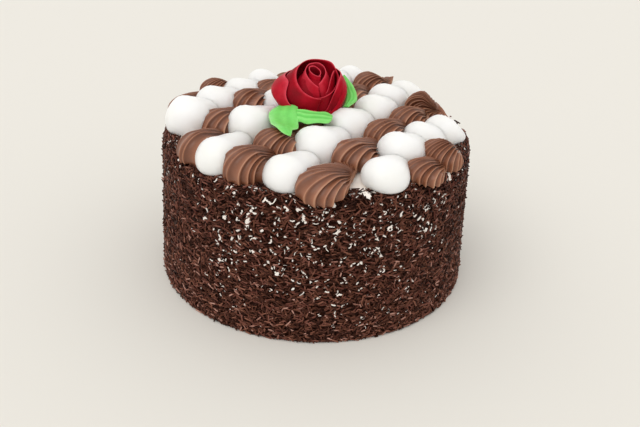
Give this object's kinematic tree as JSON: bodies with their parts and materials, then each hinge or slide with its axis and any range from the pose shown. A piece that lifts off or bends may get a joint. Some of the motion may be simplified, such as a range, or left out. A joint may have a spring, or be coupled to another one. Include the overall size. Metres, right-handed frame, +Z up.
{
  "type": "checkerboard cake",
  "caption": "Round iced layer cake with chocolate sprinkles all over its side, a top of piped shells in rows of white and chocolate buttercream, and a red piped rose with green leaves.",
  "frame": {"origin": "centre of the flat base that the cake stands on", "axes": "+Z up; -Y is the front, as pictured, and +X is to the right seen from there"},
  "size_m": [0.2179, 0.2218, 0.1484],
  "materials": {
    "sprinkled_icing": "satin",
    "white_buttercream": "satin",
    "chocolate_buttercream": "satin",
    "red_buttercream": "satin",
    "green_buttercream": "satin"
  },
  "bodies": {
    "root": {"iced_cake": "sprinkled_icing", "chocolate_shell_a1": "chocolate_buttercream", "chocolate_shell_a2": "chocolate_buttercream", "white_shell_b1": "white_buttercream", "white_shell_b2": "white_buttercream", "white_shell_b3": "white_buttercream", "white_shell_b4": "white_buttercream", "chocolate_shell_c1": "chocolate_buttercream", "chocolate_shell_c2": "chocolate_buttercream", "chocolate_shell_c3": "chocolate_buttercream", "chocolate_shell_c4": "chocolate_buttercream", "chocolate_shell_c5": "chocolate_buttercream", "white_shell_d1": "white_buttercream", "white_shell_d2": "white_buttercream", "white_shell_d3": "white_buttercream", "white_shell_d4": "white_buttercream", "white_shell_d5": "white_buttercream", "white_shell_d6": "white_buttercream", "chocolate_shell_e1": "chocolate_buttercream", "chocolate_shell_e2": "chocolate_buttercream", "chocolate_shell_e3": "chocolate_buttercream", "chocolate_shell_e4": "chocolate_buttercream", "chocolate_shell_e5": "chocolate_buttercream", "chocolate_shell_e6": "chocolate_buttercream", "white_shell_f1": "white_buttercream", "white_shell_f2": "white_buttercream", "white_shell_f3": "white_buttercream", "white_shell_f4": "white_buttercream", "white_shell_f5": "white_buttercream", "white_shell_f6": "white_buttercream", "chocolate_shell_g1": "chocolate_buttercream", "chocolate_shell_g2": "chocolate_buttercream", "chocolate_shell_g3": "chocolate_buttercream", "chocolate_shell_g4": "chocolate_buttercream", "chocolate_shell_g5": "chocolate_buttercream", "white_shell_h1": "white_buttercream", "white_shell_h2": "white_buttercream", "white_shell_h3": "white_buttercream", "white_shell_h4": "white_buttercream", "chocolate_shell_i1": "chocolate_buttercream", "chocolate_shell_i2": "chocolate_buttercream", "rose": "red_buttercream", "leaf_front": "green_buttercream", "leaf_right": "green_buttercream", "leaf_back": "green_buttercream"}
  },
  "joints": []
}
